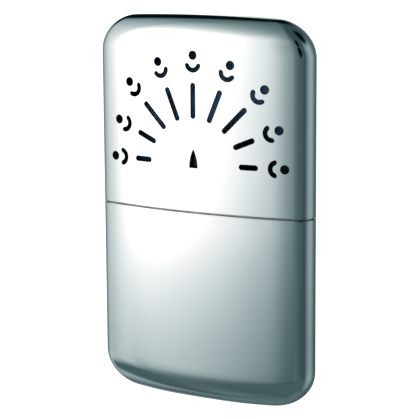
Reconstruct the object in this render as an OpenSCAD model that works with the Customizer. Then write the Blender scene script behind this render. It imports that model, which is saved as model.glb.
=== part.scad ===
// Catalytic hand warmer: a flat oval pocket case in two drawn halves.
// The lower half is the fuel tank. The upper half is a vented push-fit cover
// over a catalytic burner, which plugs onto the tank's mouth.
// X runs across the width, Y through the thickness with the front at -Y, Z up.
// The origin is the middle of the flat that the tank stands on.

/* [Case] */
// Width of the case
case_w = 68; // [60:1:80]
// Thickness of the case at its middle
case_t = 15.6; // [14.8:0.1:20]
// Radius of the narrow sides of the oval section
side_r = 4.75; // [3.6:0.05:6]
// Height of the tank, from the base to the middle of the seam
tank_h = 55.1; // [45:0.1:75]
// Height of the cover, from the middle of the seam to the top
cover_h = 55.2; // [50:0.1:75]
// Sheet thickness of the two drawn shells
shell_wall = 0.5; // [0.35:0.05:0.8]
// Gap that shows at the seam
seam_gap = 0.3; // [0.1:0.05:0.6]

/* [Case ends] */
// Corner radius of the cover, seen from the front
cover_corner_r = 11.2; // [8:0.1:16]
// Corner radius of the tank, seen from the front
tank_corner_r = 10.8; // [8:0.1:16]
// Height over which the faces curve in towards an end
edge_rise = 8.9; // [5:0.1:12]
// Depth by which each face curves in at an end
edge_run = 5; // [3:0.1:5.5]
// Drop of the cover's crowned top at its full half width
cover_crown = 1.4; // [0:0.1:3]
// Rise of the tank's crowned underside at its full half width
tank_crown = 1.3; // [0:0.1:3]
// Half length of the flat that the tank stands on
base_flat = 8; // [4:0.5:14]

/* [Collar] */
// Height of the collar above the seam
collar_h = 8; // [5:0.5:12]
// Sheet thickness of the collar and of the tank's top
collar_wall = 0.4; // [0.3:0.05:0.6]
// Sliding clearance between the collar and the cover
slide_gap = 0.15; // [0.1:0.05:0.3]
// Depth of the tank's top below the seam
recess_depth = 2; // [1:0.5:6]
// Outer radius of the fold between the collar and the tank's top
fold_r = 1.5; // [0.8:0.1:2]

/* [Vents] */
// Height of the fan's centre above the seam
fan_rise = 14; // [12:0.5:16]
// Number of spokes in the fan
spoke_count = 9; // [5:2:9]
// Width of a slot
slot_w = 1.5; // [0.8:0.05:1.8]
// Distance from the fan's centre to the inner end of a level slot
slot_start = 14.2; // [12:0.1:16]
// How much nearer to the centre the upright slot starts
slot_draw = 1.5; // [0:0.1:2]
// Distance from the centre to the dots of the level spokes
level_dot_r = 27.5; // [26:0.1:28.5]
// The same for spokes at 22.5 degrees
low_dot_r = 28; // [26:0.1:28.5]
// The same for spokes at 45 degrees
steep_dot_r = 30.8; // [28:0.1:32]
// The same for spokes at 67.5 degrees and more
high_dot_r = 30.4; // [28:0.1:32]
// Diameter of a dot
dot_d = 2.5; // [1.5:0.1:3]
// Distance from a dot's centre back to the slot's outer end
slot_back = 7.7; // [6.5:0.1:9]
// Distance from a dot's centre back to the crescent's centre
crescent_back = 2.25; // [1.9:0.05:2.4]
// Radius of a crescent's middle line
crescent_r = 1.9; // [1.5:0.1:2.4]
// Width of a crescent's stroke
crescent_w = 1.3; // [0.8:0.05:1.4]
// Angle that a crescent sweeps
crescent_sweep = 140; // [100:5:160]
// Height of the pointed opening at the fan's centre
arch_h = 5.3; // [4:0.1:7]
// Width of that opening at its foot
arch_w = 2.6; // [1.6:0.1:3.4]
// Radius of its bulging sides
arch_side_r = 11.4; // [6:0.1:20]
// Height of its foot below the fan's centre
arch_drop = 1.2; // [0:0.1:3]

/* [Fuel mouth] */
// Width of the mouth, a ferrule with round ends
mouth_w = 21; // [16:0.5:22]
// Depth of the mouth, front to back
mouth_t = 8; // [6:0.1:8.4]
// Wall of the mouth
mouth_wall = 0.4; // [0.3:0.05:0.6]
// Height of the mouth above the tank's top
mouth_h = 7; // [5:0.5:9]
// Width of the flange under the tank's top
flange_rim = 1.5; // [1:0.1:2]
// Thickness of that flange
flange_t = 0.5; // [0.3:0.1:1]

/* [Burner] */
// Width of the burner
burner_w = 27; // [25:0.5:30]
// Clear space between the burner and the collar, front and back
burner_gap = 1.05; // [0.6:0.05:1.3]
// Sheet thickness of the burner's pieces
burner_wall = 0.4; // [0.3:0.05:0.5]
// Plug clearance between the mouth and the burner's skirt
plug_gap = 0.15; // [0.1:0.05:0.25]
// Space between the tank's top and the skirt's lower edge
skirt_lift = 1; // [0.5:0.1:2]
// Height of the burner's tray
tray_h = 3.5; // [2.5:0.1:5]
// Height of the cage above the tray's floor
cage_h = 18; // [14:0.5:21]
// Width of a window in the cage
window_w = 2.1; // [1.4:0.1:2.4]
// Number of windows on each face of the cage
window_count = 5; // [3:2:5]
// Width of the bar between two windows
window_bar = 1; // [0.7:0.1:1.2]
// Height of solid wall above and below a window
window_margin = 1.6; // [1.2:0.1:2.5]
// Width of the lip that turns in round the cage's top
lip_w = 1.3; // [0.8:0.1:1.8]
// Thickness of the gauze under the catalyst mat
gauze_t = 0.3; // [0.2:0.05:0.4]
// Spacing of the gauze's holes
gauze_pitch = 1.9; // [1.6:0.1:2.6]
// Share of that spacing that a hole takes
gauze_open = 0.62; // [0.4:0.02:0.7]

/* [Fillings] */
// Space kept round every soft filling
soft_gap = 0.3; // [0.2:0.05:0.5]
// Length of the wick below the mouth's flange
wick_drop = 34; // [15:1:36]
// Radius of the catalyst mat's crowned top
mat_crown_r = 40; // [30:1:80]

/* [Hidden] */
$fn = 48;

// Facets of the shells: steps on a side arc, on half a face and up a corner
side_steps = 8;
face_steps = 10;
corner_steps = 9;
fold_steps = 4;

half_w = case_w / 2;
half_t = case_t / 2;
// Length by which a cutting tool runs past what it cuts
past = 1;
// Clearance of pieces that are pressed or soldered into each other
seat_gap = 0.05;

// Heights, from the base up
seam_z = tank_h;
collar_inset = shell_wall + slide_gap;
top_z = seam_z - recess_depth;
top_under_z = top_z - collar_wall;
mouth_z = top_z + mouth_h;
tray_z = mouth_z + soft_gap;
gauze_z = tray_z + burner_wall;
mat_z = gauze_z + gauze_t;
cage_z = gauze_z + cage_h;

// Burner depth, which leaves its gap inside the collar
burner_t = case_t - 2 * (collar_inset + collar_wall + burner_gap);
skirt_w = mouth_w + 2 * (plug_gap + burner_wall);
skirt_t = mouth_t + 2 * (plug_gap + burner_wall);
cage_w = burner_w - 2 * (burner_wall + seat_gap);
cage_t = burner_t - 2 * (burner_wall + seat_gap);
wick_w = mouth_w - 2 * (mouth_wall + soft_gap);
wick_t = mouth_t - 2 * (mouth_wall + soft_gap);

// ---- The oval section: side arcs joined by wide face arcs ----

// Radius of the face arc that meets side arcs of radius r at a tangent
function face_r(a, b, r) = ((a - r) * (a - r) + b * b - r * r) / (2 * (b - r));

// Angle at which the side arc hands over to the face arc
function hand_over(a, b, r) = atan2(face_r(a, b, r) - b, a - r);

// Points of the first quadrant, from (a, 0) to (0, b)
function quadrant(a, b, r) =
    let (f = face_r(a, b, r), turn = hand_over(a, b, r))
    concat(
        [for (i = [0 : side_steps - 1])
            let (t = turn * i / side_steps)
            [a - r + r * cos(t), r * sin(t)]],
        [for (i = [0 : face_steps])
            let (t = turn + (90 - turn) * i / face_steps)
            [f * cos(t), b - f + f * sin(t)]]
    );

// The whole oval, anticlockwise from (a, 0)
function oval(a, b, r) =
    let (q = quadrant(a, b, r), n = side_steps + face_steps)
    concat(
        [for (i = [0 : n - 1]) q[i]],
        [for (i = [n : -1 : 1]) [-q[i].x, q[i].y]],
        [for (i = [0 : n - 1]) [-q[i].x, -q[i].y]],
        [for (i = [n : -1 : 1]) [q[i].x, -q[i].y]]
    );

// The case's section, moved inward by inset all round
function section(inset) = oval(half_w - inset, half_t - inset, side_r - inset);

// How far a quarter ellipse has turned in at height h of its rise
function turned_in(h, rise, run) =
    run * (1 - sqrt(max(0, 1 - pow(min(1, max(0, h) / rise), 2))));

// How far a crowned end falls away at x, flat as far as flat
function crown_drop(x, crown, flat) =
    crown * pow(max(0, abs(x) - flat) / (half_w - flat), 2);

// One ring of a drawn end: the section drawn in at height u of a shell
function end_ring(u, depth, inset, corner_r, crown, flat) =
    let (
        h = u - (depth - corner_r),
        in_x = turned_in(h, corner_r - inset, corner_r - inset),
        in_y = turned_in(h - corner_r + edge_rise, edge_rise - inset, edge_run - inset),
        kx = 1 - in_x / (half_w - inset),
        ky = 1 - in_y / (half_t - inset),
        part = max(0, h) / (corner_r - inset)
    )
    [for (p = section(inset))
        let (x = p.x * kx)
        [x, p.y * ky, u - part * crown_drop(x, crown, flat)]];

// Rings of a drawn shell's surface, from its rim to its closed end
function drawn_rings(depth, inset, corner_r, crown, flat) =
    let (r = corner_r - inset)
    [for (i = [-1 : corner_steps])
        let (u = i < 0 ? 0 : depth - corner_r + r * sin(90 * i / corner_steps))
        end_ring(u, depth, inset, corner_r, crown, flat)];

// Rings of a straight cup with a rounded fold at its closed end
function folded_rings(depth, inset, r) =
    [for (i = [-1 : fold_steps])
        let (t = i < 0 ? 0 : 90 * i / fold_steps)
        [for (p = section(inset + r * (1 - cos(t))))
            [p.x, p.y, i < 0 ? 0 : depth - r + r * sin(t)]]];

// ---- Solids from rings of points ----

function flat_list(lists) = [for (l = lists) for (e = l) e];
function two_triangles(a, b, c, d) = [[a, b, c], [a, c, d]];
function flipped(faces) = [for (f = faces) [f[2], f[1], f[0]]];

// Side faces between rings, whose first point has index from
function side_faces(rings, n, from) = flat_list([
    for (j = [0 : rings - 2]) for (k = [0 : n - 1])
        let (a = from + j * n, b = a + n, next = (k + 1) % n)
        two_triangles(a + k, b + k, b + next, a + next)
]);

// Faces that close a ring in strips from front to back
function cap_faces(n, from) = concat(
    [[from + n - 1, from + 1, from]],
    flat_list([for (k = [1 : n / 2 - 2])
        two_triangles(from + n - k, from + n - k - 1, from + k + 1, from + k)]),
    [[from + n / 2 + 1, from + n / 2, from + n / 2 - 1]]
);

// Faces of the rim between the outer and the inner skin
function rim_faces(n, outer, inner) = flat_list([
    for (k = [0 : n - 1])
        let (next = (k + 1) % n)
        two_triangles(outer + k, outer + next, inner + next, inner + k)
]);

// A cup with its rim at z = 0 and its closed end up
module cup(outer, inner) {
    rings = len(outer);
    n = len(outer[0]);
    skin = rings * n;
    polyhedron(
        points = concat(flat_list(outer), flat_list(inner)),
        faces = concat(
            side_faces(rings, n, 0),
            cap_faces(n, skin - n),
            flipped(side_faces(rings, n, skin)),
            flipped(cap_faces(n, 2 * skin - n)),
            rim_faces(n, 0, skin)
        )
    );
}

// The same rings as a closed solid
module plug(rings) {
    n = len(rings[0]);
    polyhedron(
        points = flat_list(rings),
        faces = concat(
            side_faces(len(rings), n, 0),
            cap_faces(n, (len(rings) - 1) * n),
            flipped(cap_faces(n, 0))
        )
    );
}

module drawn_shell(depth, corner_r, crown, flat) {
    cup(
        drawn_rings(depth, 0, corner_r, crown, flat),
        drawn_rings(depth, shell_wall, corner_r, crown, flat)
    );
}

// A bar with round ends along X, standing on z = 0
module stadium(w, t, h) {
    linear_extrude(h) {
        square([w - t, t], center = true);
        for (side = [-1, 1]) {
            translate([side * (w - t) / 2, 0]) circle(d = t);
        }
    }
}

// A stadium tube with an even wall
module stadium_tube(w, t, h, wall) {
    difference() {
        stadium(w, t, h);
        translate([0, 0, -past]) stadium(w - 2 * wall, t - 2 * wall, h + 2 * past);
    }
}

// ---- Case ----

module tank_shell() {
    color("silver")
    translate([0, 0, seam_z - seam_gap / 2])
    mirror([0, 0, 1])
    drawn_shell(tank_h - seam_gap / 2, tank_corner_r, tank_crown, base_flat);
}

// Drawn pan: the collar that guides the cover, with the tank's top inside it
module tank_top() {
    depth = collar_h + recess_depth + collar_wall;
    color("gainsboro")
    difference() {
        translate([0, 0, seam_z + collar_h])
        mirror([0, 0, 1])
        cup(
            folded_rings(depth, collar_inset, fold_r),
            folded_rings(depth - collar_wall, collar_inset + collar_wall, fold_r - collar_wall)
        );
        translate([0, 0, top_under_z - past])
        stadium(mouth_w + 2 * seat_gap, mouth_t + 2 * seat_gap, collar_wall + 2 * past);
    }
}

// Flanged ferrule through the tank's top
module fuel_mouth() {
    color("lightgray") {
        difference() {
            union() {
                translate([0, 0, top_under_z - flange_t])
                stadium(mouth_w, mouth_t, mouth_z - top_under_z + flange_t);
                translate([0, 0, top_under_z - flange_t])
                stadium(mouth_w + 2 * flange_rim, mouth_t + 2 * flange_rim, flange_t);
            }
            translate([0, 0, top_under_z - flange_t - past])
            stadium(mouth_w - 2 * mouth_wall, mouth_t - 2 * mouth_wall, tank_h);
        }
    }
}

// Distance from the fan's centre to the dot of a spoke, by its slope on either side
function dot_r(angle) = lookup(min(angle, 180 - angle), [
    [0, level_dot_r], [22.5, low_dot_r], [45, steep_dot_r], [67.5, high_dot_r],
]);

// Depth of a vent's cutting tool, from before the front face to mid case
vent_reach = half_t + past;

// Turns a child's +Z to run into the front face, with its X along one spoke
module on_spoke(angle) {
    translate([0, -vent_reach, seam_z + fan_rise])
    rotate([-90, 0, 0])
    rotate([0, 0, -angle])
    children();
}

module slot_cut(angle) {
    from = slot_start - slot_draw * sin(angle);
    to = dot_r(angle) - slot_back;
    on_spoke(angle) translate([(from + to) / 2, 0, 0]) stadium(to - from, slot_w, vent_reach);
}

module dot_cut(angle) {
    on_spoke(angle) translate([dot_r(angle), 0, 0])
    cylinder(d = dot_d, h = vent_reach, $fn = 32);
}

// A curved slot with round ends that opens outward, towards its dot
module crescent_cut(angle) {
    on_spoke(angle) translate([dot_r(angle) - crescent_back, 0, 0])
    rotate([0, 0, 180 - crescent_sweep / 2]) {
        rotate_extrude(angle = crescent_sweep)
        translate([crescent_r - crescent_w / 2, 0]) square([crescent_w, vent_reach]);
        for (end = [0, crescent_sweep]) {
            rotate([0, 0, end]) translate([crescent_r, 0, 0])
            cylinder(d = crescent_w, h = vent_reach, $fn = 32);
        }
    }
}

// The pointed opening: two bulging sides that meet over a level foot
module arch_cut() {
    chord = norm([arch_w / 2, arch_h]);
    back = sqrt(arch_side_r * arch_side_r - chord * chord / 4);
    on_spoke(90) translate([-arch_drop, 0, 0])
    intersection() {
        intersection_for (side = [-1, 1]) {
            translate([(arch_h - back * arch_w / chord) / 2,
                side * (arch_w / 4 - back * arch_h / chord), 0])
            cylinder(r = arch_side_r, h = vent_reach, $fn = 96);
        }
        translate([0, -arch_w, 0]) cube([arch_h, 2 * arch_w, vent_reach]);
    }
}

module vent_cuts() {
    for (i = [0 : spoke_count - 1]) {
        angle = 180 * i / (spoke_count - 1);
        slot_cut(angle);
        crescent_cut(angle);
        dot_cut(angle);
    }
    arch_cut();
}

module upper_cover() {
    color("silver")
    difference() {
        translate([0, 0, seam_z + seam_gap / 2])
        drawn_shell(cover_h - seam_gap / 2, cover_corner_r, cover_crown, 0);
        vent_cuts();
    }
}

// ---- Burner ----

// Stepped tray with the skirt that plugs over the mouth
module burner_base() {
    color("gray") {
        difference() {
            union() {
                translate([0, 0, top_z + skirt_lift])
                stadium(skirt_w, skirt_t, tray_z - top_z - skirt_lift);
                translate([0, 0, tray_z]) stadium(burner_w, burner_t, tray_h);
            }
            translate([0, 0, top_z + skirt_lift - past])
            stadium(skirt_w - 2 * burner_wall, skirt_t - 2 * burner_wall,
                tray_z - top_z - skirt_lift + past);
            translate([0, 0, gauze_z])
            stadium(burner_w - 2 * burner_wall, burner_t - 2 * burner_wall, tray_h);
            translate([0, 0, tray_z - past])
            stadium(mouth_w - 2 * mouth_wall, mouth_t - 2 * mouth_wall, 2 * past);
        }
    }
}

// Perforated gauze that carries the catalyst mat
module mat_support() {
    across = floor((cage_w - 2 * burner_wall - cage_t) / gauze_pitch / 2);
    deep = floor((cage_t / 2 - gauze_pitch) / gauze_pitch);
    color("dimgray")
    translate([0, 0, gauze_z])
    difference() {
        stadium(cage_w, cage_t, gauze_t);
        for (i = [-across : across]) for (j = [-deep : deep]) {
            translate([i * gauze_pitch, j * gauze_pitch, -past])
            cylinder(d = gauze_pitch * gauze_open, h = gauze_t + 2 * past, $fn = 16);
        }
    }
}

// Pressed cage with windows, open at the top inside a turned-in lip
module burner_cage() {
    window_z = tray_z + tray_h + window_margin;
    window_h = cage_z - window_margin - window_z;
    pitch = window_w + window_bar;
    color("darkgray")
    difference() {
        translate([0, 0, mat_z]) stadium(cage_w, cage_t, cage_z - mat_z);
        translate([0, 0, mat_z - past])
        stadium(cage_w - 2 * burner_wall, cage_t - 2 * burner_wall,
            cage_z - mat_z - burner_wall + past);
        translate([0, 0, cage_z - past])
        stadium(cage_w - 2 * lip_w, cage_t - 2 * lip_w, 2 * past);
        for (i = [0 : window_count - 1]) {
            translate([(i - (window_count - 1) / 2) * pitch, -cage_t, window_z + window_h / 2])
            rotate([-90, 0, 0]) rotate([0, 0, 90]) stadium(window_h, window_w, 2 * cage_t);
        }
        translate([-cage_w, 0, window_z + window_h / 2])
        rotate([0, 90, 0]) stadium(window_h, window_w, 2 * cage_w);
    }
}

// ---- Soft fillings ----

// Catalyst-bearing fibre pad with a crowned top
module catalyst_mat() {
    inset = burner_wall + soft_gap;
    mat_h = cage_z - mat_z - burner_wall - 2 * soft_gap;
    color("whitesmoke")
    translate([0, 0, mat_z + soft_gap])
    intersection() {
        stadium(cage_w - 2 * inset, cage_t - 2 * inset, mat_h);
        translate([0, cage_t, mat_h - mat_crown_r])
        rotate([90, 0, 0]) cylinder(r = mat_crown_r, h = 2 * cage_t, $fn = 96);
    }
}

module wick() {
    color("ivory")
    translate([0, 0, top_under_z - flange_t - wick_drop])
    stadium(wick_w, wick_t, wick_drop + flange_t + mouth_z - top_under_z - soft_gap);
}

// One half of the tank's wadding, with its share of the wick's slot
module wadding(side) {
    inset = shell_wall + soft_gap;
    top = top_under_z - flange_t - soft_gap;
    color("white")
    difference() {
        translate([0, 0, top])
        mirror([0, 0, 1])
        plug(drawn_rings(top - inset, inset, tank_corner_r, tank_crown, base_flat));
        translate([side > 0 ? -case_w : -soft_gap / 2, -case_t, -past])
        cube([case_w + soft_gap / 2, 2 * case_t, tank_h]);
        translate([0, 0, top_under_z - flange_t - wick_drop - soft_gap])
        stadium(wick_w + 2 * soft_gap, wick_t + 2 * soft_gap, tank_h);
    }
}

module wadding_left() { wadding(-1); }
module wadding_right() { wadding(1); }

tank_shell();
tank_top();
fuel_mouth();
wick();
wadding_left();
wadding_right();
upper_cover();
burner_base();
mat_support();
catalyst_mat();
burner_cage();
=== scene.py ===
"""Catalytic hand warmer: the finish of every piece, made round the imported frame."""

import logging
import math
from collections.abc import Callable, Iterable
from dataclasses import dataclass, field
from enum import Enum
from typing import Any

import bmesh
import bpy
from bmesh.types import BMEdge, BMesh, BMVert
from mathutils import Matrix, Vector, noise
from mathutils.bvhtree import BVHTree
from mathutils.interpolate import poly_3d_calc


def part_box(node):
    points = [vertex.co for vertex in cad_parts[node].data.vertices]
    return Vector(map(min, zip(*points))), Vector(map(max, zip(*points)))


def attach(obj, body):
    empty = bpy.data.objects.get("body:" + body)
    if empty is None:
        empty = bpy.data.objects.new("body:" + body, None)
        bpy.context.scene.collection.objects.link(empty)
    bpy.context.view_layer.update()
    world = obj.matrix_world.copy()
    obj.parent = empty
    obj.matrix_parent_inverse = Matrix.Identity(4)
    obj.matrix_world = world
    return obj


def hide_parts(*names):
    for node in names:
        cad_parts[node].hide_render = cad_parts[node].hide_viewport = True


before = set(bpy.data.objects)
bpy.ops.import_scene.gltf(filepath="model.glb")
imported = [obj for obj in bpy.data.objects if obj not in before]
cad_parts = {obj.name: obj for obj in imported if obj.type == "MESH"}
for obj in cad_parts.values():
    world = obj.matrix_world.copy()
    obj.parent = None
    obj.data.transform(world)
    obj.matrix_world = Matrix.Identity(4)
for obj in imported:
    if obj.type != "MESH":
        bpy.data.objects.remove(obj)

LOG = logging.getLogger("hand_warmer")
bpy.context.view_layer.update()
MM = 0.001

Tree = bpy.types.NodeTree
Socket = bpy.types.NodeSocket
# A ring of a loft: gives the place of each vertex from its number
Ring = Callable[[int], Vector]
# How far the cut sheet's corners are moved towards their faces to find the whole sheet's face
PULL_IN = 0.02
# Fine lumps on the fibre's coarse ones: their depth and how many times smaller they are
FINE_DEPTH = 0.18
FINE_TIMES = 3.1
# Height above a pad's flat underside over which it stays flat
FLAT_BAND = 0.2 * MM


# ---------------------------------------------------------------- mesh tools


class Skin(Enum):
    """Which side of a sheet a face belongs to; the value is its material index."""

    OUTER = 0
    INNER = 1
    CUT = 2


def loft(bm: BMesh, steps: int, rings: Iterable[Ring]) -> list[list[BMVert]]:
    """Extrudes one ring of vertices through a run of places.

    Args:
        bm: The mesh that gets the rings.
        steps: Number of vertices in a ring.
        rings: For each ring, a function from a vertex's number to its place.

    Returns:
        The vertices of each ring, in the order of their numbers.
    """
    number = bm.verts.layers.int.get("number") or bm.verts.layers.int.new("number")
    made: list[list[BMVert]] = []
    verts: list[BMVert] = []
    edges: list[BMEdge] = []
    for place in rings:
        if not made:
            verts = bmesh.ops.create_circle(bm, segments=steps, radius=1.0)["verts"]
            for i, vert in enumerate(verts):
                vert[number] = i
        else:
            out = bmesh.ops.extrude_edge_only(bm, edges=edges)["geom"]
            verts = [g for g in out if isinstance(g, BMVert)]
        ring = set(verts)
        edges = list({e for v in verts for e in v.link_edges if e.other_vert(v) in ring})
        for vert in verts:
            vert.co = place(vert[number])
        made.append(sorted(verts, key=lambda v: v[number]))
    return made


def ring_edges(ring: list[BMVert]) -> list[BMEdge]:
    """Returns the edges that join the vertices of one ring."""
    inside = set(ring)
    return list({e for v in ring for e in v.link_edges if e.other_vert(v) in inside})


def cap(bm: BMesh, rings: Iterable[list[BMVert]]) -> None:
    """Closes each ring with one flat face.

    Args:
        bm: The mesh.
        rings: The rings' vertices.
    """
    for ring in rings:
        bmesh.ops.contextual_create(bm, geom=ring_edges(ring))


def close_ends(bm: BMesh, made: list[list[BMVert]]) -> None:
    """Closes a loft's two ends with strips that run from front to back.

    Args:
        bm: The mesh.
        made: The loft's rings. The first and the last are symmetric.
    """
    for ring in (made[0], made[-1]):
        cap(bm, [ring])
        for i in range(1, len(ring) // 2):
            bmesh.ops.connect_verts(bm, verts=[ring[i], ring[-i]])


def to_object(bm: BMesh, name: str) -> bpy.types.Object:
    """Turns a finished bmesh into a linked object with smooth faces that look outward.

    Args:
        bm: The mesh, which is freed.
        name: Name of the object and of its mesh.

    Returns:
        The new object, at the origin.
    """
    bmesh.ops.recalc_face_normals(bm, faces=bm.faces)
    for face in bm.faces:
        face.smooth = True
    mesh = bpy.data.meshes.new(name)
    bm.to_mesh(mesh)
    bm.free()
    made = bpy.data.objects.new(name, mesh)
    bpy.context.scene.collection.objects.link(made)
    return made


def apply_modifiers(obj: bpy.types.Object) -> None:
    """Replaces an object's mesh by what its modifiers make of it.

    Args:
        obj: The object, which keeps its materials and loses its modifiers.
    """
    graph = bpy.context.evaluated_depsgraph_get()
    mesh = bpy.data.meshes.new_from_object(obj.evaluated_get(graph))
    old = obj.data
    obj.modifiers.clear()
    mesh.name = old.name
    obj.data = mesh
    bpy.data.meshes.remove(old)


def cut_with(obj: bpy.types.Object, cutter: bpy.types.Object) -> None:
    """Cuts one object's shape out of another and removes the cutter.

    Args:
        obj: The object that is cut.
        cutter: The shape that goes.
    """
    boolean = obj.modifiers.new("cut", "BOOLEAN")
    boolean.operation = "DIFFERENCE"
    boolean.solver = "EXACT"
    boolean.object = cutter
    apply_modifiers(obj)
    bpy.data.meshes.remove(cutter.data)


def close_loop(bm: BMesh, steps: int, rings: list[Ring]) -> list[list[BMVert]]:
    """Lofts a ring-shaped solid whose last ring joins its first.

    Args:
        bm: The mesh that gets the solid.
        steps: Number of vertices in a ring.
        rings: The rings round the solid's wall.

    Returns:
        The vertices of each ring.
    """
    made = loft(bm, steps, rings + rings[:1])
    bmesh.ops.remove_doubles(bm, verts=made[0] + made.pop(), dist=MM * 1e-4)
    number = bm.verts.layers.int["number"]
    left = [v for v in bm.verts if v not in {w for ring in made[1:] for w in ring}]
    made[0] = sorted(left, key=lambda v: v[number])
    return made


def round_edges(bm: BMesh, edges: list[BMEdge], radius: float, segments: int = 2) -> None:
    """Rounds edges of a mesh.

    Args:
        bm: The mesh.
        edges: Its edges to round.
        radius: Their radius.
        segments: Number of steps round each.
    """
    bmesh.ops.bevel(bm, geom=edges, offset=radius, segments=segments, profile=0.5,
                    affect="EDGES", material=-1)


def roughen(bm: BMesh, depth: float, grain_mm: float, floor_z: float | None = None) -> None:
    """Pushes a fibre pad's surface in by lumps, never out of its place.

    Args:
        bm: The pad's mesh.
        depth: Greatest depth of a lump.
        grain_mm: Size of the lumps in millimetres.
        floor_z: Height of a face that stays flat, if there is one.
    """
    bm.normal_update()
    moves = []
    for vert in bm.verts:
        at = vert.co / (grain_mm * MM)
        lump = 0.5 + 0.5 * noise.noise(at) + FINE_DEPTH * noise.noise(at * FINE_TIMES)
        flat = floor_z is not None and vert.co.z < floor_z + FLAT_BAND
        moves.append(0.0 if flat else depth * min(1.0, max(0.0, lump)))
    for vert, move in zip(bm.verts, moves):
        vert.co -= vert.normal * move


# ---------------------------------------------------------------- the case


class Section:
    """A level outline whose four quarters mirror one another."""

    steps: int

    def corner(self, step: int) -> tuple[float, float]:
        """Returns a point of the first quarter; each kind of section has its own."""
        raise NotImplementedError(step)

    def point(self, number: int) -> tuple[float, float]:
        """Gives a point of the outline.

        Args:
            number: The point's number, counted anticlockwise from +X.

        Returns:
            Its x and y.
        """
        quarter = self.steps // 4
        turn, step = divmod(number, quarter)
        x, y = self.corner(quarter - step if turn % 2 else step)
        return (-x if turn in (1, 2) else x), (-y if turn in (2, 3) else y)

    def ring(self, height: float) -> Ring:
        """Returns the section's ring at a height."""
        return lambda number: Vector((*self.point(number), height))


@dataclass(frozen=True)
class Oval(Section):
    """Flat oval section: narrow side arcs joined at a tangent by wide face arcs.

    Attributes:
        half_w: Half the width, along X.
        half_t: Half the thickness, along Y.
        side_r: Radius of the side arcs.
        side_steps: Steps on a quadrant's side arc.
        face_steps: Steps on a quadrant's half of a face.
    """

    half_w: float
    half_t: float
    side_r: float
    side_steps: int = 20
    face_steps: int = 44

    @property
    def steps(self) -> int:
        """Number of points round the whole oval."""
        return 4 * (self.side_steps + self.face_steps)

    @property
    def face_r(self) -> float:
        """Radius of the wide face arcs."""
        run = self.half_w - self.side_r
        return (run * run + self.half_t**2 - self.side_r**2) / (2 * (self.half_t - self.side_r))

    def inset(self, gap: float) -> "Oval":
        """Returns the oval moved inward by a gap all round."""
        return Oval(self.half_w - gap, self.half_t - gap, self.side_r - gap,
                    self.side_steps, self.face_steps)

    def depth_at(self, x: float) -> float:
        """Returns how far the face stands from the middle plane at x."""
        return self.half_t - self.face_r + math.sqrt(self.face_r**2 - x * x)

    def corner(self, step: int) -> tuple[float, float]:
        """Gives a point of the first quarter.

        Args:
            step: The point's number from +X.

        Returns:
            Its x and y.
        """
        over = math.atan2(self.face_r - self.half_t, self.half_w - self.side_r)
        if step < self.side_steps:
            angle = over * step / self.side_steps
            x = self.half_w - self.side_r + self.side_r * math.cos(angle)
            y = self.side_r * math.sin(angle)
        else:
            angle = over + (math.pi / 2 - over) * (step - self.side_steps) / self.face_steps
            x = self.face_r * math.cos(angle)
            y = self.half_t - self.face_r + self.face_r * math.sin(angle)
        return x, y


@dataclass(frozen=True)
class Stadium(Section):
    """Section with straight faces and round ends.

    Attributes:
        width: Width along X.
        depth: Depth along Y.
        steps: Number of points round it, a multiple of four.
    """

    width: float
    depth: float
    steps: int = 96

    def inset(self, gap: float) -> "Stadium":
        """Returns the section moved inward by a gap all round."""
        return Stadium(self.width - 2 * gap, self.depth - 2 * gap, self.steps)

    def corner(self, step: int) -> tuple[float, float]:
        """Gives a point of the first quarter, three fifths of whose steps go round the end.

        Args:
            step: The point's number from +X.

        Returns:
            Its x and y.
        """
        quarter = self.steps // 4
        arc = (quarter * 3) // 5
        radius = self.depth / 2
        straight = self.width / 2 - radius
        if step <= arc:
            angle = math.pi / 2 * step / arc
            return straight + radius * math.cos(angle), radius * math.sin(angle)
        return straight * (1 - (step - arc) / (quarter - arc)), radius


def turned_in(height: float, rise: float, run: float) -> float:
    """Follows a quarter ellipse from its foot, where it is upright, to its level end.

    Args:
        height: Height above its foot.
        rise: Height of its end.
        run: How far its end lies from its foot.

    Returns:
        How far it has turned in at that height.
    """
    share = min(1.0, max(0.0, height) / rise)
    return run * (1 - math.sqrt(max(0.0, 1 - share * share)))


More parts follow.
